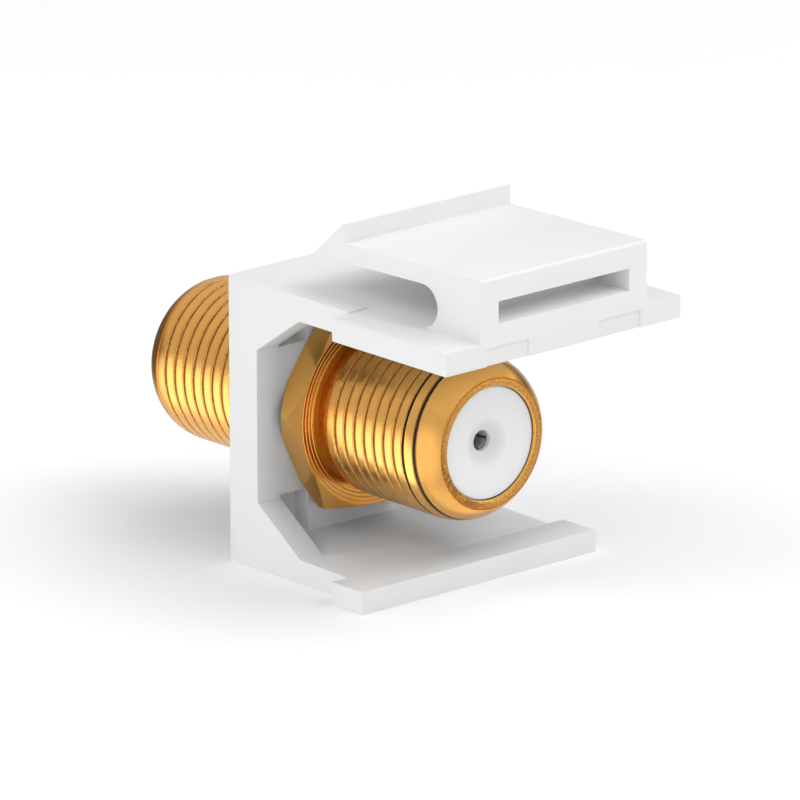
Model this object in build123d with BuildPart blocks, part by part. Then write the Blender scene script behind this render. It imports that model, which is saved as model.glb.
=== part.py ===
from build123d import *
from math import radians, sqrt, tan
import os

# Snap-in insert for a wall plate, carrying a threaded coaxial coupler. Millimetres.
# +Z is up and -Y is the side that shows in the wall plate. The origin lies under the middle
# of the whole part, on the surface that it stands on.

# Housing: a C-shaped bracket
BODY_WIDTH = 14.78
BODY_HEIGHT = 16.38
BODY_LENGTH = 19.10
PLATE_THICKNESS = 2.31
ARM_THICKNESS = 1.43

# Front flange and bottom tab, which stop the insert against the wall plate
FLANGE_WIDTH = 17.08
FLANGE_LENGTH = 9.21
FLANGE_STEP = 0.12          # the flange's top lies this far below the arm's
ARM_FALL_LENGTH = 5.30      # the arm's top falls to the flange over this length, under the latch
TAB_WIDTH = 17.18
TAB_LENGTH = 2.54
TAB_SETBACK = 6.79
TAB_THICKNESS = 1.29        # flush with the lower arm, which thins towards the tab
EDGE_ROUND = 0.15
WITNESS_WIDTH = 3.05        # two shallow marks in the front of the flange, left by the mould
WITNESS_HEIGHT = 0.99
WITNESS_DEPTH = 0.10
WITNESS_X = 4.08

# Latch: a block on the flange with a springy tongue that ends in a hook
LATCH_WIDTH = 12.06
LATCH_HEIGHT = 3.54
LATCH_SLOPE = 1.25          # degrees that the tongue falls towards the hook
TONGUE_THICKNESS = 1.06
GAP_END = 3.48              # depth of the rounded end of the gap under the tongue
HOOK_SETBACK = 11.00
HOOK_HEIGHT = 1.07
HOOK_TIP = 0.12
RAMP_LENGTH = 2.54
LATCH_ROUND = 0.20
FINGER_SLOT_WIDTH = 9.50
FINGER_SLOT_HEIGHT = 1.26
FINGER_SLOT_DEPTH = 2.45
FINGER_SLOT_DROP = 1.36     # from the top of the latch's front to the slot

# Gussets in the bracket's corners, and the pockets beside them in the plate
GUSSET_WIDTH = 1.60
GUSSET_HEIGHT = 2.40
GUSSET_LENGTH = 3.54
POCKET_WIDTH = 2.06
POCKET_HEIGHT = 2.43
POCKET_DEPTH = 1.08
POCKET_LIFT = 0.10          # the pocket's floor above the arm's inner face

# Coupler shell, measured from the face of its hexagon that seats on the plate
THREAD_RADIUS = 4.70        # crests
THREAD_PITCH = 0.79375      # 32 to the inch
GROOVE_WIDTH = 0.28
GROOVE_DEPTH = 0.24
FRONT_GROOVE = 8.12         # from the seat to the middle of the first full groove at each end
REAR_GROOVE = 10.41
THREAD_RUN_OUT = 1.00       # plain length left beside the relief and the plate
ENGAGED_RADIUS = 4.50       # pitch radius, used where the thread is screwed into the plate
FRONT_REACH = 10.99
REAR_REACH = 13.29
NOSE_LENGTH = 2.20
RIM_RADIUS = 3.65
RELIEF_RADIUS = 4.28
RELIEF_WIDTH = 1.08
HEX_ACROSS_FLATS = 11.00
HEX_THICKNESS = 1.63
HEX_TURN = 4.4              # degrees, clockwise seen from the front
HEX_FACE_ANGLE = 30.0
HEX_FACE_RADIUS = 5.57
HEX_SEAT_ANGLE = 45.0
HEX_SEAT_RADIUS = 5.60
BORE_RADIUS = 3.20
WEB_THICKNESS = 2.00
WEB_BORE_RADIUS = 2.40

# Insulators and centre contact inside the shell
INSULATOR_RECESS = 0.25
FACE_DISH = 0.17            # the insulator's face sinks by this from its edge to the funnel
FUNNEL_RADIUS = 1.42
FUNNEL_DEPTH = 0.45
ENTRY_RADIUS = 0.58
ENTRY_LENGTH = 0.25
CONTACT_RADIUS = 1.05
CONTACT_BORE_RADIUS = 0.50
CONTACT_BORE_DEPTH = 8.00
CONTACT_COLLAR_RADIUS = 1.60
TINE_SLOT_WIDTH = 0.15
TINE_LENGTH = 3.60

# Clearances
HOLE_CLEARANCE = 0.02
INSULATOR_CLEARANCE = 0.02
CONTACT_CLEARANCE = 0.05
CONTACT_END_GAP = 0.10

# Places worked out from the sizes
AXIS_HEIGHT = BODY_HEIGHT / 2
PLATE_DEPTH = BODY_LENGTH - PLATE_THICKNESS
FRONT_Y = -(PLATE_DEPTH + REAR_REACH) / 2
SEAT_Y = FRONT_Y + PLATE_DEPTH
REAR_Y = FRONT_Y + BODY_LENGTH
FLANGE_REAR_Y = FRONT_Y + FLANGE_LENGTH
TAB_FRONT_Y = FRONT_Y + TAB_SETBACK
TAB_REAR_Y = TAB_FRONT_Y + TAB_LENGTH
UPPER_ARM_UNDERSIDE = BODY_HEIGHT - ARM_THICKNESS
FLANGE_TOP = BODY_HEIGHT - FLANGE_STEP
LATCH_TOP = FLANGE_TOP + LATCH_HEIGHT
POCKET_X = BODY_WIDTH / 2 - GUSSET_WIDTH - POCKET_WIDTH / 2


def across_axis(y, facing):
    """Plane square to the coupler's axis at y; facing is +1 to look rearwards, -1 forwards."""
    return Plane(origin=(0, y, AXIS_HEIGHT), x_dir=(1, 0, 0), z_dir=(0, facing, 0))


def tongue_top(depth):
    """Height of the latch's sloping top at a depth behind the flange's front."""
    return LATCH_TOP - depth * tan(radians(LATCH_SLOPE))


def tongue_underside(depth):
    return tongue_top(depth) - TONGUE_THICKNESS


def lower_arm_top(y):
    """Height of the lower arm's inner face, which falls from the plate to the tab."""
    slope = (ARM_THICKNESS - TAB_THICKNESS) / (SEAT_Y - TAB_REAR_Y)
    return ARM_THICKNESS - (SEAT_Y - y) * slope


# Housing, one moulding
with BuildPart() as snap_in_housing:
    # bracket in side view: plate, upper arm and the lower arm that thins towards the tab
    with BuildSketch(Plane.YZ):
        with BuildLine():
            Polyline(
                (REAR_Y, 0),
                (REAR_Y, BODY_HEIGHT),
                (FLANGE_REAR_Y, BODY_HEIGHT),
                (FLANGE_REAR_Y, UPPER_ARM_UNDERSIDE),
                (SEAT_Y, UPPER_ARM_UNDERSIDE),
                (SEAT_Y, ARM_THICKNESS),
                (TAB_REAR_Y, TAB_THICKNESS),
                (TAB_REAR_Y, 0),
                close=True,
            )
        make_face()
    extrude(amount=BODY_WIDTH / 2, both=True)

    # flange under the latch
    with BuildSketch(Plane.XY.offset(UPPER_ARM_UNDERSIDE)):
        with Locations((0, FRONT_Y + FLANGE_LENGTH / 2)):
            Rectangle(FLANGE_WIDTH, FLANGE_LENGTH)
    extrude(amount=FLANGE_TOP - UPPER_ARM_UNDERSIDE)

    # tab at the front of the lower arm
    with BuildSketch(Plane.XY):
        with Locations((0, TAB_FRONT_Y + TAB_LENGTH / 2)):
            Rectangle(TAB_WIDTH, TAB_LENGTH)
    extrude(amount=TAB_THICKNESS)

    # rounded upper edges along both ends of flange and tab
    end_edges = snap_in_housing.edges().filter_by(Axis.Y).filter_by(
        lambda edge: abs(edge.center().X) > BODY_WIDTH / 2 + EDGE_ROUND
    )
    fillet(end_edges.filter_by(lambda edge: abs(edge.center().Z - FLANGE_TOP) < EDGE_ROUND), EDGE_ROUND)
    fillet(end_edges.filter_by(lambda edge: abs(edge.center().Z - TAB_THICKNESS) < EDGE_ROUND), EDGE_ROUND)

    # the arm's top falls to the flange's level over the latch's width
    with BuildSketch(Plane.YZ):
        with BuildLine():
            Polyline(
                (FLANGE_REAR_Y, BODY_HEIGHT),
                (FLANGE_REAR_Y, FLANGE_TOP),
                (FLANGE_REAR_Y + ARM_FALL_LENGTH, BODY_HEIGHT),
                close=True,
            )
        make_face()
    extrude(amount=LATCH_WIDTH / 2, both=True, mode=Mode.SUBTRACT)

    # latch in side view: block, tongue, hook and ramp, around the round-ended gap
    gap_top = tongue_underside(GAP_END)
    gap_radius = (gap_top - FLANGE_TOP) / 2
    gap_center_y = FRONT_Y + GAP_END + gap_radius
    hook_y = FRONT_Y + HOOK_SETBACK
    ramp_end = HOOK_SETBACK + HOOK_TIP + RAMP_LENGTH
    with BuildSketch(Plane.YZ):
        with BuildLine():
            Polyline(
                (gap_center_y, FLANGE_TOP),
                (FRONT_Y, FLANGE_TOP),
                (FRONT_Y, LATCH_TOP),
                (hook_y, tongue_top(HOOK_SETBACK)),
                (hook_y, tongue_top(HOOK_SETBACK) + HOOK_HEIGHT),
                (hook_y + HOOK_TIP, tongue_top(HOOK_SETBACK) + HOOK_HEIGHT),
                (FRONT_Y + ramp_end, tongue_underside(ramp_end)),
                (gap_center_y, gap_top),
            )
            RadiusArc((gap_center_y, gap_top), (gap_center_y, FLANGE_TOP), -gap_radius)
        make_face()
    extrude(amount=LATCH_WIDTH / 2, both=True)
    latch_front = snap_in_housing.edges().filter_by(Axis.X).filter_by(
        lambda edge: edge.center().Z > LATCH_TOP - LATCH_ROUND and edge.center().Y < FRONT_Y + LATCH_ROUND
    )
    fillet(latch_front, LATCH_ROUND)

    # finger slot in the latch's front
    with BuildSketch(Plane.XZ.offset(-FRONT_Y)):
        with Locations((0, LATCH_TOP - FINGER_SLOT_DROP - FINGER_SLOT_HEIGHT / 2)):
            Rectangle(FINGER_SLOT_WIDTH, FINGER_SLOT_HEIGHT)
    extrude(amount=-FINGER_SLOT_DEPTH, mode=Mode.SUBTRACT)

    # mould marks low in the front of the flange
    with BuildSketch(Plane.XZ.offset(-FRONT_Y)):
        with Locations((-WITNESS_X, UPPER_ARM_UNDERSIDE), (WITNESS_X, UPPER_ARM_UNDERSIDE)):
            Rectangle(WITNESS_WIDTH, WITNESS_HEIGHT, align=(Align.CENTER, Align.MIN))
    extrude(amount=-WITNESS_DEPTH, mode=Mode.SUBTRACT)

    # gussets between the plate and both arms, at both sides
    gusset_front_y = SEAT_Y - GUSSET_LENGTH
    gusset_x = (BODY_WIDTH - GUSSET_WIDTH) / 2
    for side in (-1, 1):
        with BuildSketch(Plane.YZ.offset(side * gusset_x)):
            with BuildLine():
                Polyline(
                    (SEAT_Y, ARM_THICKNESS),
                    (SEAT_Y, ARM_THICKNESS + GUSSET_HEIGHT),
                    (gusset_front_y, lower_arm_top(gusset_front_y)),
                    close=True,
                )
            make_face()
            with BuildLine():
                Polyline(
                    (SEAT_Y, UPPER_ARM_UNDERSIDE),
                    (SEAT_Y, UPPER_ARM_UNDERSIDE - GUSSET_HEIGHT),
                    (gusset_front_y, UPPER_ARM_UNDERSIDE),
                    close=True,
                )
            make_face()
        extrude(amount=GUSSET_WIDTH / 2, both=True)

    # pockets in the plate beside the gussets, low and high
    pocket_z = AXIS_HEIGHT - ARM_THICKNESS - POCKET_LIFT - POCKET_HEIGHT / 2
    with BuildSketch(across_axis(SEAT_Y, 1)):
        with GridLocations(2 * POCKET_X, 2 * pocket_z, 2, 2):
            Rectangle(POCKET_WIDTH, POCKET_HEIGHT)
    extrude(amount=POCKET_DEPTH, mode=Mode.SUBTRACT)

    # hole that the coupler is screwed into
    with BuildSketch(across_axis(SEAT_Y, 1)):
        Circle(ENGAGED_RADIUS + HOLE_CLEARANCE)
    extrude(amount=PLATE_THICKNESS, mode=Mode.SUBTRACT)

snap_in_housing.part.label = "snap_in_housing"


# Coupler shell, turned from hexagon bar: nose, thread, relief, hexagon, thread, nose.
# The thread's full grooves are plain rings, which hold no lead.
shell_plane = Plane(origin=(0, SEAT_Y, AXIS_HEIGHT), x_dir=(0, 1, 0), z_dir=(1, 0, 0))
coupler_axis = Axis((0, SEAT_Y, AXIS_HEIGHT), (0, 1, 0))
hex_corner_radius = HEX_ACROSS_FLATS / sqrt(3)
face_chamfer = (hex_corner_radius - HEX_FACE_RADIUS) * tan(radians(HEX_FACE_ANGLE))
seat_chamfer = (hex_corner_radius - HEX_SEAT_RADIUS) * tan(radians(HEX_SEAT_ANGLE))
nose_radius = (NOSE_LENGTH**2 + (THREAD_RADIUS - RIM_RADIUS)**2) / (2 * (THREAD_RADIUS - RIM_RADIUS))
web_middle = (REAR_REACH - FRONT_REACH) / 2

with BuildPart() as coupler_shell:
    with BuildSketch(across_axis(SEAT_Y, -1)):
        RegularPolygon(hex_corner_radius, 6, rotation=-HEX_TURN)
    extrude(amount=HEX_THICKNESS)

    # both chamfers of the hexagon, as the lathe leaves them
    with BuildSketch(shell_plane):
        with BuildLine():
            Polyline(
                (0, 0),
                (0, HEX_SEAT_RADIUS),
                (-seat_chamfer, hex_corner_radius),
                (face_chamfer - HEX_THICKNESS, hex_corner_radius),
                (-HEX_THICKNESS, HEX_FACE_RADIUS),
                (-HEX_THICKNESS, 0),
                close=True,
            )
        make_face()
    revolve(axis=coupler_axis, mode=Mode.INTERSECT)

    # turned barrel with rounded noses and the relief in front of the hexagon
    relief_end = -HEX_THICKNESS - RELIEF_WIDTH
    with BuildSketch(shell_plane):
        with BuildLine():
            Polyline((-FRONT_REACH, 0), (-FRONT_REACH, RIM_RADIUS))
            RadiusArc((-FRONT_REACH, RIM_RADIUS), (NOSE_LENGTH - FRONT_REACH, THREAD_RADIUS), nose_radius)
            Polyline(
                (NOSE_LENGTH - FRONT_REACH, THREAD_RADIUS),
                (relief_end, THREAD_RADIUS),
                (relief_end, RELIEF_RADIUS),
                (-HEX_THICKNESS, RELIEF_RADIUS),
                (0, RELIEF_RADIUS),
                (0, ENGAGED_RADIUS),
                (PLATE_THICKNESS, ENGAGED_RADIUS),
                (PLATE_THICKNESS, THREAD_RADIUS),
                (REAR_REACH - NOSE_LENGTH, THREAD_RADIUS),
            )
            RadiusArc((REAR_REACH - NOSE_LENGTH, THREAD_RADIUS), (REAR_REACH, RIM_RADIUS), nose_radius)
            Polyline((REAR_REACH, RIM_RADIUS), (REAR_REACH, 0), (-FRONT_REACH, 0))
        make_face()
    revolve(axis=coupler_axis)

    # grooves of both threads, from each nose towards the relief and the plate
    front_grooves = int((FRONT_GROOVE + relief_end - THREAD_RUN_OUT) / THREAD_PITCH) + 1
    rear_grooves = int((REAR_GROOVE - PLATE_THICKNESS - THREAD_RUN_OUT) / THREAD_PITCH) + 1
    grooves = [(i * THREAD_PITCH - FRONT_GROOVE, THREAD_RADIUS) for i in range(front_grooves)]
    grooves += [(REAR_GROOVE - i * THREAD_PITCH, THREAD_RADIUS) for i in range(rear_grooves)]
    with BuildSketch(shell_plane):
        with Locations(*grooves):
            Polygon(
                (-GROOVE_WIDTH, GROOVE_DEPTH),
                (0, -GROOVE_DEPTH),
                (GROOVE_WIDTH, GROOVE_DEPTH),
                align=None,
            )
    revolve(axis=coupler_axis, mode=Mode.SUBTRACT)

    # bore from both ends, with the web between them
    with BuildSketch(across_axis(SEAT_Y - FRONT_REACH, 1)):
        Circle(BORE_RADIUS)
    extrude(amount=FRONT_REACH + web_middle - WEB_THICKNESS / 2, mode=Mode.SUBTRACT)
    with BuildSketch(across_axis(SEAT_Y + REAR_REACH, -1)):
        Circle(BORE_RADIUS)
    extrude(amount=REAR_REACH - web_middle - WEB_THICKNESS / 2, mode=Mode.SUBTRACT)
    with BuildSketch(across_axis(SEAT_Y + web_middle, 1)):
        Circle(WEB_BORE_RADIUS)
    extrude(amount=WEB_THICKNESS, both=True, mode=Mode.SUBTRACT)

coupler_shell.part.label = "coupler_shell"


# Insulators, pressed in from each end against the web
insulator_length = (FRONT_REACH + REAR_REACH - WEB_THICKNESS) / 2 - INSULATOR_RECESS
front_face_y = SEAT_Y - FRONT_REACH + INSULATOR_RECESS
rear_face_y = SEAT_Y + REAR_REACH - INSULATOR_RECESS
entry_depth = FACE_DISH + FUNNEL_DEPTH
chamber_depth = entry_depth + ENTRY_LENGTH


def insulator(face_y, facing):
    """Plastic plug with a funnel and entry hole at its face and a chamber for the contact behind."""
    insulator_radius = BORE_RADIUS - INSULATOR_CLEARANCE
    chamber_radius = CONTACT_RADIUS + CONTACT_CLEARANCE
    with BuildPart() as plug:
        with BuildSketch(Plane(origin=(0, face_y, AXIS_HEIGHT), x_dir=(0, facing, 0), z_dir=(1, 0, 0))):
            with BuildLine():
                Polyline(
                    (0, insulator_radius),
                    (insulator_length, insulator_radius),
                    (insulator_length, chamber_radius),
                    (chamber_depth, chamber_radius),
                    (chamber_depth, ENTRY_RADIUS),
                    (entry_depth, ENTRY_RADIUS),
                    (FACE_DISH, FUNNEL_RADIUS),
                    close=True,
                )
            make_face()
        revolve(axis=coupler_axis)
    return plug.part


front_insulator = insulator(front_face_y, 1)
front_insulator.label = "front_insulator"
rear_insulator = insulator(rear_face_y, -1)
rear_insulator.label = "rear_insulator"


# Centre contact, a double-ended socket whose collar is held in the shell's web
contact_reach = WEB_THICKNESS / 2 + insulator_length - chamber_depth - CONTACT_END_GAP
collar_half = WEB_THICKNESS / 2 - CONTACT_CLEARANCE
middle_y = SEAT_Y + web_middle

with BuildPart() as centre_contact:
    with BuildSketch(across_axis(middle_y, 1)):
        Circle(CONTACT_RADIUS)
    extrude(amount=contact_reach, both=True)
    with BuildSketch(across_axis(middle_y, 1)):
        Circle(CONTACT_COLLAR_RADIUS)
    extrude(amount=collar_half, both=True)
    for facing in (-1, 1):
        tip_y = middle_y - facing * contact_reach
        with BuildSketch(across_axis(tip_y, facing)):
            Circle(CONTACT_BORE_RADIUS)
        extrude(amount=CONTACT_BORE_DEPTH, mode=Mode.SUBTRACT)
        # crossed slots that part the socket's end into four tines
        with BuildSketch(across_axis(tip_y, facing)):
            Rectangle(2 * CONTACT_RADIUS + TINE_SLOT_WIDTH, TINE_SLOT_WIDTH)
            Rectangle(TINE_SLOT_WIDTH, 2 * CONTACT_RADIUS + TINE_SLOT_WIDTH)
        extrude(amount=TINE_LENGTH, mode=Mode.SUBTRACT)

centre_contact.part.label = "centre_contact"


os.makedirs("parts", exist_ok=True)
export_step(snap_in_housing.part, "parts/snap_in_housing.step")
export_step(coupler_shell.part, "parts/coupler_shell.step")
export_step(front_insulator, "parts/front_insulator.step")
export_step(rear_insulator, "parts/rear_insulator.step")
export_step(centre_contact.part, "parts/centre_contact.step")
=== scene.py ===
# A white snap-in insert for a wall plate, with a gold-plated coaxial coupler screwed through it.
# Metres. +Z is up, -Y is the side that shows in the wall plate.
from math import cos, pi, radians, sin, tan

import bpy
from mathutils import Matrix, Vector


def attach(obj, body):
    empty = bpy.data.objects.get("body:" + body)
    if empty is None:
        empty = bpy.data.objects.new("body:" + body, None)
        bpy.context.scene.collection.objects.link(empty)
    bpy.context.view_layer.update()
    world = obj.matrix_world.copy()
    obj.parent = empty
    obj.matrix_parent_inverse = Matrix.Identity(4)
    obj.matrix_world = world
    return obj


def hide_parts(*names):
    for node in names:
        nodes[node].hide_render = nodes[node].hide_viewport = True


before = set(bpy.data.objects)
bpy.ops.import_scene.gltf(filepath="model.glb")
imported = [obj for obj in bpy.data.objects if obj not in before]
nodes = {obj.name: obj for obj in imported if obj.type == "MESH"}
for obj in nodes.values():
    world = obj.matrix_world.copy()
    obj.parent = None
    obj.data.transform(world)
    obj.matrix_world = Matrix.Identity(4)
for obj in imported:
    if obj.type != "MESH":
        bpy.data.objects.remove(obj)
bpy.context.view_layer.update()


# Housing: one white moulding, bracket, flange, tab and sprung latch in a single shot of ABS.
# It comes from the mould with a smooth semi-gloss surface and slightly softened edges.
MM = 0.001
WHITE = 0.775
MOULDED_EDGE = 0.07 * MM
MOULDED_CORNER = radians(28)
MOULDED_SMOOTH = radians(25)
MOULDED_ROUGHNESS = 0.38
MOULDED_GRAIN = 0.0012
NOISE_LOW, NOISE_HIGH = 0.3, 0.7
NODE_WELD = 1e-6


def new_material(name):
    """A material, its node tree and its Principled shader."""
    material = bpy.data.materials.new(name)
    material.use_nodes = True
    return material, material.node_tree, material.node_tree.nodes["Principled BSDF"]


def feed(tree, socket, value):
    """Gives a socket a plain value or another node's output."""
    if isinstance(value, bpy.types.NodeSocket):
        tree.links.new(value, socket)
    else:
        socket.default_value = value


def maths(tree, operation, *values):
    """One sum in a node tree."""
    node = tree.nodes.new("ShaderNodeMath")
    node.operation = operation
    for socket, value in zip(node.inputs, values):
        feed(tree, socket, value)
    return node.outputs[0]


def spread(tree, value, low, high, at_low, at_high):
    """Maps a value from one range to another, and holds it there beyond the ends."""
    node = tree.nodes.new("ShaderNodeMapRange")
    for socket, number in zip(node.inputs, (value, low, high, at_low, at_high)):
        feed(tree, socket, number)
    return node.outputs["Result"]


def drift(tree, cloud, low, high):
    """A value that wanders between two limits with a cloud of noise."""
    return spread(tree, cloud, NOISE_LOW, NOISE_HIGH, low, high)


def times(tree, one, other):
    """The product of two values."""
    return maths(tree, "MULTIPLY", one, other)


def piece_coordinates(tree):
    """The piece's own coordinates, in metres."""
    return tree.nodes.new("ShaderNodeTexCoord").outputs["Object"]


def noise(tree, where, grain_size, detail=3.0):
    """Soft random spots between 0 and 1, about as wide as the grain size."""
    node = tree.nodes.new("ShaderNodeTexNoise")
    node.inputs["Scale"].default_value = 1.0 / grain_size
    node.inputs["Detail"].default_value = detail
    feed(tree, node.inputs["Vector"], where)
    return node.outputs["Fac"]


def raise_surface(tree, surface, height):
    """Lifts a surface by a height in millimetres, in its shading only."""
    bump = tree.nodes.new("ShaderNodeBump")
    bump.inputs["Strength"].default_value = 1.0
    bump.inputs["Distance"].default_value = MM
    feed(tree, bump.inputs["Height"], height)
    feed(tree, surface.inputs["Normal"], bump.outputs["Normal"])


white_plastic, tree, surface = new_material("white_moulded_plastic")
where = piece_coordinates(tree)
cloud = noise(tree, where, 4.0 * MM)
grain = noise(tree, where, 0.12 * MM)
feed(tree, surface.inputs["Base Color"], drift(tree, cloud, WHITE - 0.008, WHITE + 0.008))
feed(tree, surface.inputs["Roughness"],
     drift(tree, cloud, MOULDED_ROUGHNESS - 0.05, MOULDED_ROUGHNESS + 0.05))
raise_surface(tree, surface, times(tree, grain, MOULDED_GRAIN))


def copy_of_node(node, name):
    """A welded copy of a CAD solid, with its flat faces whole again, to be finished by hand."""
    bpy.ops.object.select_all(action="DESELECT")
    piece = nodes[node].copy()
    piece.data = nodes[node].data.copy()
    piece.name = name
    bpy.context.collection.objects.link(piece)
    bpy.context.view_layer.objects.active = piece
    piece.select_set(True)
    bpy.ops.object.mode_set(mode="EDIT")
    bpy.ops.mesh.select_all(action="SELECT")
    bpy.ops.mesh.remove_doubles(threshold=NODE_WELD)
    bpy.ops.mesh.dissolve_limited(angle_limit=radians(0.5))
    bpy.ops.object.mode_set(mode="OBJECT")
    piece.data.materials.clear()
    return piece


housing = copy_of_node("snap_in_housing", "snap_in_moulding")
soft_edges = housing.modifiers.new("soft_edges", "BEVEL")
soft_edges.width = MOULDED_EDGE
soft_edges.segments = 3
soft_edges.limit_method = "ANGLE"
soft_edges.angle_limit = MOULDED_CORNER
bpy.ops.object.modifier_apply(modifier=soft_edges.name)
bpy.ops.object.shade_smooth_by_angle(angle=MOULDED_SMOOTH)
housing.data.materials.append(white_plastic)
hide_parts("snap_in_housing")
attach(housing, "root")


# Coupler shell: one turning of hexagon brass bar, both ends threaded 3/8-32, then gold plated.
# The nose of each end is rounded, and a narrow relief parts the front thread from the hexagon.
AXIS_HEIGHT = 8.19 * MM
TURN_STEPS = 120
TURNED_SMOOTH = radians(9)
THREAD_RADIUS = 4.70 * MM
PITCH = 0.79375 * MM
ROOT_RADIUS = 4.46 * MM
CREST_WIDTH = 0.63 * MM
COIL_TURNS = 31
THREAD_START = -7.95 * MM
SEAT = 1.75 * MM
FRONT_END = SEAT - 10.99 * MM
REAR_END = SEAT + 13.29 * MM
NOSE_LENGTH = 2.20 * MM
NOSE_ARC = 2.83 * MM
NOSE_STEPS = 8
RIM_RADIUS = 3.65 * MM
BORE_RADIUS = 3.20 * MM
WEB_BORE_RADIUS = 2.40 * MM
WEB_FRONT = 1.90 * MM
WEB_REAR = 3.90 * MM
RELIEF_RADIUS = 4.28 * MM
RELIEF_WIDTH = 1.08 * MM
UNDERCUT = 0.25 * MM
ENGAGED_RADIUS = 4.50 * MM
PLATE_REAR = 4.06 * MM
HEX_FLATS = 11.00 * MM
HEX_EDGE = 0.06 * MM
HEX_THICKNESS = 1.63 * MM
HEX_TURN = radians(4.4)
HEX_FACE_RADIUS = 5.57 * MM
HEX_FACE_ANGLE = radians(30)
HEX_SEAT_RADIUS = 5.60 * MM
HEX_SEAT_ANGLE = radians(45)
TURNING_MARKS = (4.86 * MM, 5.08 * MM, 5.30 * MM, 5.52 * MM)
TURNING_MARK_DEPTH = 0.04 * MM
GOLD = (1.0, 0.52, 0.13, 1.0)
# Painted shade for the thread's grooves.
GROOVE_PAINTED_SHADE = (0.60, 0.33, 0.13, 1.0)
RELIEF_GOLD = (0.85, 0.56, 0.18, 1.0)
# Stains on the relief and lips, and painted shade in the undercut.
STAIN_AND_SHADE_GOLD = (0.36, 0.16, 0.04, 1.0)
# Painted shade, nearly black, for the first two grooves behind the front nose.
FIRST_GROOVE_PAINTED_SHADE = (0.10, 0.065, 0.045, 1.0)
GOLD_GRAIN = 0.12 * MM
GOLD_GRAIN_HEIGHT = 0.0008
GOLD_ROUGHNESS = (0.17, 0.24)
LATHE_RING = 0.10 * MM
LATHE_RING_HEIGHT = 0.0012
GROOVE_SHADE_DEPTHS = (0.07 * MM, 0.12 * MM)
GROOVE_SHADE_WAVER = 0.06 * MM
BEAD_EDGES = (0.12, 0.19)
BLACK_EDGES = (0.15, 0.19)
BLACK_WAVER = 0.10
DRAWN_WELD = 1e-7


def drawn_section(name, corners):
    """A half section beside the turning axis, drawn corner by corner as (radius, y)."""
    bpy.ops.object.select_all(action="DESELECT")
    bpy.ops.mesh.primitive_plane_add(size=MM, location=(0, 0, AXIS_HEIGHT))
    piece = bpy.context.object
    piece.name = name
    bpy.ops.object.mode_set(mode="EDIT")
    bpy.ops.mesh.merge(type="CENTER")
    bpy.ops.transform.translate(value=(corners[0][0], corners[0][1], 0))
    for (radius, y), (next_radius, next_y) in zip(corners, corners[1:] + corners[:1]):
        bpy.ops.mesh.extrude_region_move(
            TRANSFORM_OT_translate={"value": (next_radius - radius, next_y - y, 0)})
    bpy.ops.mesh.select_all(action="SELECT")
    bpy.ops.mesh.remove_doubles(threshold=DRAWN_WELD)
    return piece


def turned(name, corners):
    """A ring-shaped solid, turned on the coupler's axis."""
    piece = drawn_section(name, corners)
    bpy.ops.mesh.spin(steps=TURN_STEPS, angle=2 * pi, center=(0, 0, AXIS_HEIGHT), axis=(0, 1, 0))
    bpy.ops.mesh.select_all(action="SELECT")
    bpy.ops.mesh.remove_doubles(threshold=DRAWN_WELD)
    bpy.ops.mesh.normals_make_consistent(inside=False)
    bpy.ops.object.mode_set(mode="OBJECT")
    bpy.ops.object.transform_apply(location=True, rotation=True, scale=True)
    return piece


def combine(piece, tool, operation):
    """Adds or cuts with a second solid, which is then thrown away."""
    bpy.ops.object.select_all(action="DESELECT")
    bpy.context.view_layer.objects.active = piece
    piece.select_set(True)
    joining = piece.modifiers.new("combine", "BOOLEAN")
    joining.operation = operation
    joining.object = tool
    joining.solver = "EXACT"
    bpy.ops.object.modifier_apply(modifier=joining.name)
    bpy.data.objects.remove(tool)


# Half the turning's outline, from the front bore's edge outwards and back to the rear end. A nose is
# drawn as (radius, distance from the thread's end), and a lip as (radius, depth below the end face).
nose = []
for step in range(1, NOSE_STEPS + 1):
    outwards = NOSE_LENGTH * sin(pi / 2 * (1 - step / NOSE_STEPS))
    nose.append((THREAD_RADIUS - NOSE_ARC + (NOSE_ARC ** 2 - outwards ** 2) ** 0.5, outwards))
lip = [
    (BORE_RADIUS, 0.16 * MM),
    (BORE_RADIUS + 0.02 * MM, 0.08 * MM),
    (BORE_RADIUS + 0.07 * MM, 0.025 * MM),
    (BORE_RADIUS + 0.14 * MM, 0.0),
    (RIM_RADIUS - 0.13 * MM, 0.0),
    (RIM_RADIUS - 0.08 * MM, 0.015 * MM),
    (RIM_RADIUS - 0.04 * MM, 0.04 * MM),
    (RIM_RADIUS, 0.11 * MM),
]
hex_face = SEAT - HEX_THICKNESS
hex_middle = SEAT - HEX_THICKNESS / 2
front_thread_end = FRONT_END + NOSE_LENGTH
rear_thread_end = REAR_END - NOSE_LENGTH
relief_start = hex_face - RELIEF_WIDTH
blank = [(radius, FRONT_END + depth) for radius, depth in lip]
blank += [(radius, front_thread_end - outwards) for radius, outwards in nose]
blank += [
    (THREAD_RADIUS, relief_start),
    (RELIEF_RADIUS, relief_start),
    (RELIEF_RADIUS, hex_middle),
    (ENGAGED_RADIUS, hex_middle),
    (ENGAGED_RADIUS, PLATE_REAR),
    (THREAD_RADIUS, PLATE_REAR),
]
blank += [(radius, rear_thread_end + outwards) for radius, outwards in reversed(nose)]
blank += [(radius, REAR_END - depth) for radius, depth in reversed(lip)]
blank += [
    (BORE_RADIUS, WEB_REAR),
    (WEB_BORE_RADIUS, WEB_REAR),
    (WEB_BORE_RADIUS, WEB_FRONT),
    (BORE_RADIUS, WEB_FRONT),
]
shell = turned("threaded_shell", blank)

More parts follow.
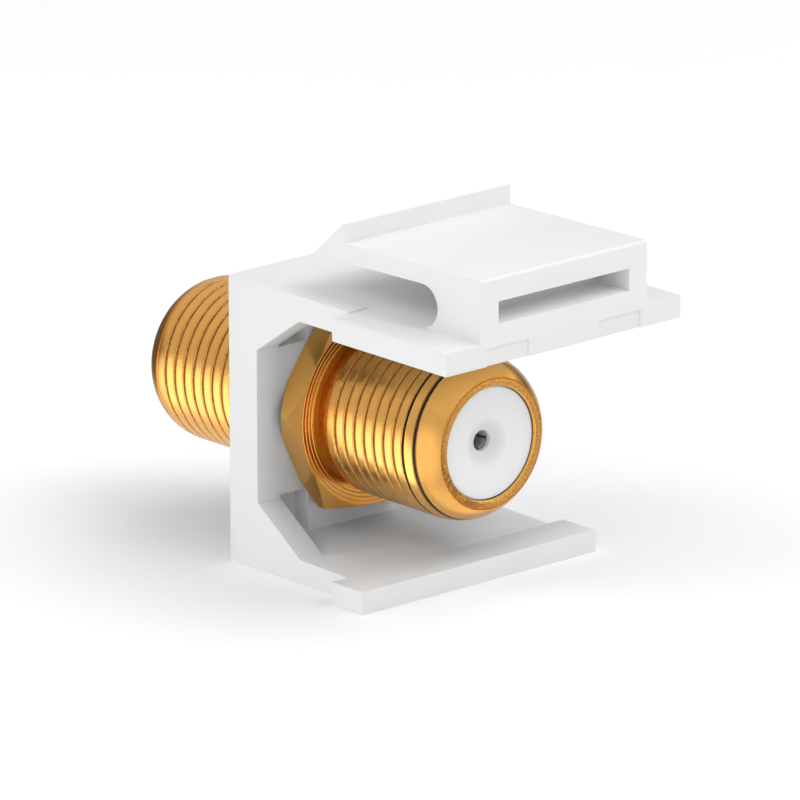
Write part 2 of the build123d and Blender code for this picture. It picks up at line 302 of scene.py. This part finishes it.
# The thread is one long coil cut out of the blank, a narrow V that flares a little at its shoulders.
# Its section is drawn as (radius, distance from the groove's middle).
half_groove = (PITCH - CREST_WIDTH) / 2
flank = [
    (THREAD_RADIUS - 0.045 * MM, half_groove),
    (THREAD_RADIUS - 0.012 * MM, half_groove + 0.045 * MM),
    (THREAD_RADIUS + 0.003 * MM, half_groove + 0.12 * MM),
    (THREAD_RADIUS + 0.2 * MM, half_groove + 0.12 * MM),
]
cutter = [(ROOT_RADIUS, 0.0)] + flank + [(radius, -aside) for radius, aside in reversed(flank)]
groove_start = THREAD_START - PITCH / 2
coil = drawn_section("groove_coil", [(radius, groove_start + aside) for radius, aside in cutter])
bpy.ops.object.mode_set(mode="OBJECT")
wind = coil.modifiers.new("wind", "SCREW")
wind.axis = "Y"
wind.screw_offset = PITCH
wind.iterations = COIL_TURNS
wind.steps = wind.render_steps = TURN_STEPS
bpy.ops.object.modifier_apply(modifier=wind.name)
bpy.ops.object.transform_apply(location=True, rotation=True, scale=True)
bpy.ops.object.mode_set(mode="EDIT")
bpy.ops.mesh.select_all(action="SELECT")
bpy.ops.mesh.remove_doubles(threshold=DRAWN_WELD)
bpy.ops.mesh.fill_holes(sides=0)
bpy.ops.mesh.select_all(action="SELECT")
bpy.ops.mesh.normals_make_consistent(inside=False)
bpy.ops.object.mode_set(mode="OBJECT")
combine(shell, coil, "DIFFERENCE")

# The hexagon is a length of bar with slightly rounded edges, kept only where it lies inside a turned
# shape. That has both chamfers, the lathe's fine marks on the face and an undercut at the thread.
hex_corner = HEX_FLATS / 2 / cos(pi / 6)
bpy.ops.object.select_all(action="DESELECT")
bpy.ops.mesh.primitive_cylinder_add(
    vertices=6, radius=hex_corner, depth=2 * HEX_THICKNESS,
    location=(0, hex_middle, AXIS_HEIGHT), rotation=(pi / 2, 0, 0))
hexagon = bpy.context.object
bpy.ops.object.mode_set(mode="EDIT")
bpy.ops.transform.rotate(value=pi / 6 - HEX_TURN, orient_axis="Y", center_override=(0, 0, AXIS_HEIGHT))
bpy.ops.mesh.select_all(action="SELECT")
bpy.ops.mesh.bevel(offset=HEX_EDGE, segments=2, affect="EDGES")
bpy.ops.object.mode_set(mode="OBJECT")
bpy.ops.object.transform_apply(location=True, rotation=True, scale=True)
reach = hex_corner + 0.05 * MM
under_thread = RELIEF_RADIUS - 0.3 * MM
turned_face = []
for radius in TURNING_MARKS:
    turned_face += [
        (radius - TURNING_MARK_DEPTH, hex_face),
        (radius, hex_face + TURNING_MARK_DEPTH),
        (radius + 0.7 * TURNING_MARK_DEPTH, hex_face),
    ]
chamfer = turned("chamfer", [
    (under_thread, hex_face + UNDERCUT),
    (THREAD_RADIUS, hex_face + UNDERCUT),
    (THREAD_RADIUS, hex_face),
    *turned_face,
    (HEX_FACE_RADIUS, hex_face),
    (reach, hex_face + (reach - HEX_FACE_RADIUS) * tan(HEX_FACE_ANGLE)),
    (reach, SEAT - (reach - HEX_SEAT_RADIUS) * tan(HEX_SEAT_ANGLE)),
    (HEX_SEAT_RADIUS, SEAT),
    (under_thread, SEAT),
])
combine(hexagon, chamfer, "INTERSECT")
combine(shell, hexagon, "UNION")
bpy.ops.object.shade_smooth_by_angle(angle=TURNED_SMOOTH)


def plus(tree, one, other):
    """The sum of two values."""
    return maths(tree, "ADD", one, other)


def minus(tree, one, other):
    """The difference of two values."""
    return maths(tree, "SUBTRACT", one, other)


def larger(tree, one, other):
    """The larger of two values."""
    return maths(tree, "MAXIMUM", one, other)


def between(tree, value, low, high):
    """1 where a value lies between two limits, and 0 elsewhere."""
    return maths(tree, "COMPARE", value, (low + high) / 2, (high - low) / 2)


def tinted(tree, plain, tint, amount):
    """One colour that gives way to another by an amount between 0 and 1."""
    node = tree.nodes.new("ShaderNodeMix")
    node.data_type = "RGBA"
    feed(tree, node.inputs["Factor"], amount)
    feed(tree, node.inputs[6], plain)
    feed(tree, node.inputs[7], tint)
    return node.outputs[2]


def about_axis(tree, where):
    """A place on the coupler: to the right, along the axis, above the axis and outwards from it."""
    split = tree.nodes.new("ShaderNodeSeparateXYZ")
    feed(tree, split.inputs[0], where)
    sideways = split.outputs["X"]
    upwards = minus(tree, split.outputs["Z"], AXIS_HEIGHT)
    outwards = maths(tree, "SQRT", plus(tree, times(tree, sideways, sideways), times(tree, upwards, upwards)))
    return sideways, split.outputs["Y"], upwards, outwards


# The plating is bright gold, darkened down in the grooves as painted shade, with the lathe's fine rings all
# along.
gold, tree, surface = new_material("gold_plate")
where = piece_coordinates(tree)
sideways, along, upwards, outwards = about_axis(tree, where)
grain = noise(tree, where, GOLD_GRAIN)

# The painted groove shade lies below the turning's skin, which curves inwards over the two noses.
threads = larger(tree, between(tree, along, THREAD_START - 0.4 * PITCH, relief_start),
                 between(tree, along, PLATE_REAR, rear_thread_end + 0.5 * PITCH))
past = larger(tree, larger(
    tree, minus(tree, front_thread_end, along), minus(tree, along, rear_thread_end)), 0.0)
skin = plus(tree, THREAD_RADIUS - NOSE_ARC,
            maths(tree, "SQRT", minus(tree, NOSE_ARC ** 2, times(tree, past, past))))
depth = plus(tree, minus(tree, skin, outwards), times(tree, grain, GROOVE_SHADE_WAVER))
groove_shade = times(tree, spread(tree, depth, *GROOVE_SHADE_DEPTHS, 0.0, 1.0), threads)

# Rough beads follow each groove, and the first two grooves get nearly black painted shade. Both are found by
# the distance from the coil's middle line, counted in pitches.
part_turn = maths(
    tree, "DIVIDE", maths(tree, "ARCTAN2", times(tree, upwards, -1.0), sideways), 2 * pi)
turns = minus(tree, maths(tree, "DIVIDE", minus(tree, along, groove_start), PITCH), part_turn)
off_groove = maths(tree, "ABSOLUTE", maths(tree, "WRAP", turns, 0.5, -0.5))
beads = times(tree, spread(tree, off_groove, *BEAD_EDGES, 0.9, 0.0), threads)
ragged = plus(tree, off_groove, times(tree, grain, BLACK_WAVER))
first_groove_shade = times(tree, spread(tree, ragged, *BLACK_EDGES, 1.0, 0.0),
              between(tree, along, THREAD_START - 0.6 * PITCH, THREAD_START + 1.3 * PITCH))

# The relief is stained in patches, and the lips in specks, most at the lower left. The undercut gets painted
# shade, half as strong as a stain, all round.
behind_thread = spread(tree, outwards, THREAD_RADIUS - 0.2 * MM, THREAD_RADIUS, 1.0, 0.0)
relief = times(tree, between(tree, along, relief_start, hex_face), behind_thread)
undercut = times(
    tree, between(tree, along, hex_face + 0.01 * MM, hex_face + 2 * UNDERCUT), behind_thread)
lips = larger(tree, between(tree, along, FRONT_END - 0.1 * MM, FRONT_END + 0.06 * MM),
              between(tree, along, REAR_END - 0.06 * MM, REAR_END + 0.1 * MM))
patches = spread(tree, noise(tree, where, 0.30 * MM), 0.52, 0.66, 0.0, 0.55)
specks = spread(tree, noise(tree, where, 0.11 * MM), 0.50, 0.64, 0.0, 0.6)
lower_left_side = spread(tree, plus(tree, sideways, upwards), -4.6 * MM, -2.6 * MM, 0.8, 0.0)
lower_left_specks = spread(tree, noise(tree, where, 0.16 * MM), 0.40, 0.52, 0.0, 1.0)
specks = larger(tree, specks, times(tree, lower_left_side, lower_left_specks))
stains_and_shade = larger(tree, times(tree, relief, patches), times(tree, lips, specks))
# Painted shade: the undercut is darkened all round.
stains_and_shade = larger(tree, times(tree, undercut, 0.5), stains_and_shade)

# Painted shade: the grooves turn darker gold by their depth.
colour = tinted(tree, GOLD, GROOVE_PAINTED_SHADE, groove_shade)
# Painted shade: the first two grooves go nearly black.
colour = tinted(tree, colour, FIRST_GROOVE_PAINTED_SHADE, first_groove_shade)
colour = tinted(tree, colour, RELIEF_GOLD, relief)
colour = tinted(tree, colour, STAIN_AND_SHADE_GOLD, stains_and_shade)
feed(tree, surface.inputs["Base Color"], colour)
surface.inputs["Metallic"].default_value = 1.0
rough = larger(tree, larger(tree, beads, times(tree, relief, 0.4)), times(tree, lips, 0.4))
polish = drift(tree, noise(tree, where, 1.5 * MM), *GOLD_ROUGHNESS)
feed(tree, surface.inputs["Roughness"], plus(tree, polish, times(tree, rough, 0.12)))
rings = tree.nodes.new("ShaderNodeCombineXYZ")
feed(tree, rings.inputs["X"], outwards)
feed(tree, rings.inputs["Y"], along)
lathe = noise(tree, rings.outputs[0], LATHE_RING, 2.0)
grain_height = plus(tree, times(tree, rough, 0.08), GOLD_GRAIN_HEIGHT)
raise_surface(tree, surface, plus(
    tree, times(tree, lathe, LATHE_RING_HEIGHT), times(tree, grain, grain_height)))
shell.data.materials.clear()
shell.data.materials.append(gold)
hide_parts("coupler_shell")
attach(shell, "root")


# Insulators: two plugs turned from white plastic rod, one pressed into each end of the bore. Each has
# a slightly sunk face, a funnel, and a small entry hole that leads a cable's wire to the contact.
INSULATOR_RADIUS = 3.18 * MM
INSULATOR_RECESS = 0.25 * MM
FACE_DISH = 0.17 * MM
FUNNEL_RADIUS = 1.42 * MM
FUNNEL_DEPTH = 0.45 * MM
ENTRY_RADIUS = 0.58 * MM
ENTRY_LENGTH = 0.25 * MM
CHAMBER_RADIUS = 1.10 * MM
FUNNEL_PAINTED_SHADE = 0.87
PLUG_SMOOTH = radians(35)

insulator_plastic, tree, surface = new_material("insulator_plastic")
where = piece_coordinates(tree)
cloud = noise(tree, where, 2.0 * MM)
outwards = about_axis(tree, where)[3]
# Painted shade: the plastic is darker in the funnel and the entry hole.
funnel_painted_shade = spread(tree, outwards, FUNNEL_RADIUS - 0.50 * MM, FUNNEL_RADIUS + 0.05 * MM, FUNNEL_PAINTED_SHADE, 1.0)
feed(tree, surface.inputs["Base Color"], times(tree, drift(tree, cloud, 0.84, 0.86), funnel_painted_shade))
feed(tree, surface.inputs["Roughness"], drift(tree, cloud, 0.40, 0.50))
raise_surface(tree, surface, times(tree, noise(tree, where, 0.10 * MM), 0.0015))

# Half a plug's outline, as (radius, depth below its rim), from the chamber out through the entry
# hole, the funnel and the dished face.
hole_start = FACE_DISH + FUNNEL_DEPTH
hole_end = hole_start + ENTRY_LENGTH
plug = [
    (CHAMBER_RADIUS, hole_end),
    (ENTRY_RADIUS, hole_end),
    (ENTRY_RADIUS, hole_start + 0.03 * MM),
    (ENTRY_RADIUS + 0.02 * MM, hole_start - 0.02 * MM),
    (ENTRY_RADIUS + 0.08 * MM, hole_start - 0.06 * MM),
    (FUNNEL_RADIUS - 0.10 * MM, FACE_DISH + 0.05 * MM),
    (FUNNEL_RADIUS - 0.02 * MM, FACE_DISH + 0.01 * MM),
    (FUNNEL_RADIUS + 0.10 * MM, FACE_DISH - 0.015 * MM),
    (INSULATOR_RADIUS - 0.04 * MM, 0.005 * MM),
    (INSULATOR_RADIUS, 0.04 * MM),
]
for name, face, inwards, end in (
    ("front_insulator", FRONT_END + INSULATOR_RECESS, 1, WEB_FRONT),
    ("rear_insulator", REAR_END - INSULATOR_RECESS, -1, WEB_REAR),
):
    insulator = turned(name + "_plug", [(radius, face + inwards * depth) for radius, depth in plug]
                       + [(INSULATOR_RADIUS, end), (CHAMBER_RADIUS, end)])
    bpy.ops.object.shade_smooth_by_angle(angle=PLUG_SMOOTH)
    insulator.data.materials.append(insulator_plastic)
    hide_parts(name)
    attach(insulator, "root")


# Centre contact: a double-ended socket of tinned spring bronze, slotted at both ends, shown as it is
# in the part's own solid and seen only through the insulators' entry holes.
contact_metal, tree, surface = new_material("contact_metal")
where = piece_coordinates(tree)
surface.inputs["Base Color"].default_value = (0.62, 0.61, 0.59, 1.0)
surface.inputs["Metallic"].default_value = 0.4
feed(tree, surface.inputs["Roughness"], drift(tree, noise(tree, where, 0.5 * MM), 0.40, 0.55))
raise_surface(tree, surface, times(tree, noise(tree, where, 0.08 * MM), 0.002))
nodes["centre_contact"].data.materials.clear()
nodes["centre_contact"].data.materials.append(contact_metal)


# Stage: a dull white table top that runs out of the picture. The gold doesn't mirror it, and sees the
# room's low patches instead.
FLOOR_SIZE = 4.0
bpy.ops.object.select_all(action="DESELECT")
bpy.ops.mesh.primitive_plane_add(size=FLOOR_SIZE, location=(0, 0, 0))
floor = bpy.context.object
floor.name = "table_top"
table_white, tree, surface = new_material("table_white")
where = piece_coordinates(tree)
cloud = noise(tree, where, 30.0 * MM)
feed(tree, surface.inputs["Base Color"], drift(tree, cloud, 0.926, 0.930))
feed(tree, surface.inputs["Roughness"], drift(tree, cloud, 0.85, 0.95))
surface.inputs["Specular IOR Level"].default_value = 0.1
raise_surface(tree, surface, times(tree, noise(tree, where, 0.3 * MM), 0.001))
floor.data.materials.append(table_white)
floor.visible_glossy = False


# Light: an even pale room with soft bright and dark patches on its walls, which show mostly in the
# gold, and three soft boxes, two at the left and one at the front right. Angles are in degrees, box
# sizes in metres and powers in watts.
ROOM = 0.61
BOX_DISTANCE = 0.42
world = bpy.data.worlds.new("studio")
bpy.context.scene.world = world
world.use_nodes = True
tree = world.node_tree
outlook = tree.nodes.new("ShaderNodeTexCoord").outputs["Generated"]


def heading(azimuth, elevation):
    """A direction in the room: azimuth 0 looks rearwards and 90 to the right, in degrees."""
    across = cos(radians(elevation))
    return Vector((sin(radians(azimuth)) * across, cos(radians(azimuth)) * across, sin(radians(elevation))))


def outlook_along(axis):
    """How far a look into the room goes along an axis."""
    node = tree.nodes.new("ShaderNodeVectorMath")
    node.operation = "DOT_PRODUCT"
    node.inputs[1].default_value = axis
    feed(tree, node.inputs[0], outlook)
    return node.outputs["Value"]


def soft_patch(azimuth, elevation, width, height, strength):
    """A soft-edged bright or dark oval on the room's walls, with its half width and height in degrees."""
    middle = heading(azimuth, elevation)
    sideways = heading(azimuth + 90, 0)
    across = outlook_along(sideways / sin(radians(width)))
    upwards = outlook_along(middle.cross(sideways) / sin(radians(height)))
    reach = plus(tree, times(tree, across, across), times(tree, upwards, upwards))
    fade = spread(tree, reach, 0.25, 1.6, strength, 0.0)
    fade.node.interpolation_type = "SMOOTHSTEP"
    return times(tree, fade, maths(tree, "GREATER_THAN", outlook_along(middle), 0.0))


brightness = ROOM
for azimuth, elevation, width, height, strength in (
    (-48, -27, 28, 27, 1.30),    # bright, behind on the left and low
    (-105, -15, 34, 34, 0.45),   # bright, on the left
    (2, -4, 34, 20, -0.50),      # dark, behind
    (110, 38, 35, 30, 0.80),     # bright, on the right and high
    (85, 12, 25, 20, -0.45),     # dark, on the right
    (-168, -8, 24, 40, -0.16),   # dark, in front
    (0, 88, 50, 50, 0.10),       # bright, overhead
    (0, -80, 45, 45, 0.33),      # bright, from below
):
    brightness = plus(tree, brightness, soft_patch(azimuth, elevation, width, height, strength))
feed(tree, tree.nodes["Background"].inputs["Strength"], brightness)
tree.nodes["Background"].inputs["Color"].default_value = (1.0, 1.0, 1.0, 1.0)

for name, azimuth, elevation, size, power in (
    ("soft_box_left_rear", -70, 46, 0.20, 0.34),
    ("soft_box_left_front", -115, 35, 0.30, 0.23),
    ("soft_box_right", 150, 50, 0.30, 0.54),
):
    box_data = bpy.data.lights.new(name, "AREA")
    box_data.size = size
    box_data.energy = power
    soft_box = bpy.data.objects.new(name, box_data)
    bpy.context.collection.objects.link(soft_box)
    soft_box.visible_glossy = False
    hang = heading(azimuth, elevation)
    soft_box.matrix_world = (
        Matrix.Translation(hang * BOX_DISTANCE + Vector((0, 0, AXIS_HEIGHT)))
        @ hang.to_track_quat("Z", "Y").to_matrix().to_4x4()
    )


# Camera: a long lens at the photograph's view, from the front left and a little above.
VIEW_AZIMUTH = radians(-41.519)
VIEW_ELEVATION = radians(16.758)
VIEW_ROLL = radians(0.151)
VIEW_DISTANCE = 0.56962
VIEW_TARGET = Vector((-0.005617, -0.008040, 0.011549))
LENS = 474.44
towards_camera = Vector((
    sin(VIEW_AZIMUTH) * cos(VIEW_ELEVATION),
    -cos(VIEW_AZIMUTH) * cos(VIEW_ELEVATION),
    sin(VIEW_ELEVATION),
))
camera_data = bpy.data.cameras.new("camera")
camera_data.lens = LENS
camera_data.sensor_width = 36.0
camera_data.clip_start = 0.01
camera = bpy.data.objects.new("camera", camera_data)
bpy.context.collection.objects.link(camera)
turn = towards_camera.to_track_quat("Z", "Y").to_matrix().to_4x4()
roll = Matrix.Rotation(-VIEW_ROLL, 4, "Z")
camera.matrix_world = Matrix.Translation(VIEW_TARGET + towards_camera * VIEW_DISTANCE) @ turn @ roll
bpy.context.scene.camera = camera
bpy.context.scene.view_settings.view_transform = "Standard"
# The gold throws no bright flecks of light onto the white plastic round it.
bpy.context.scene.cycles.caustics_reflective = False
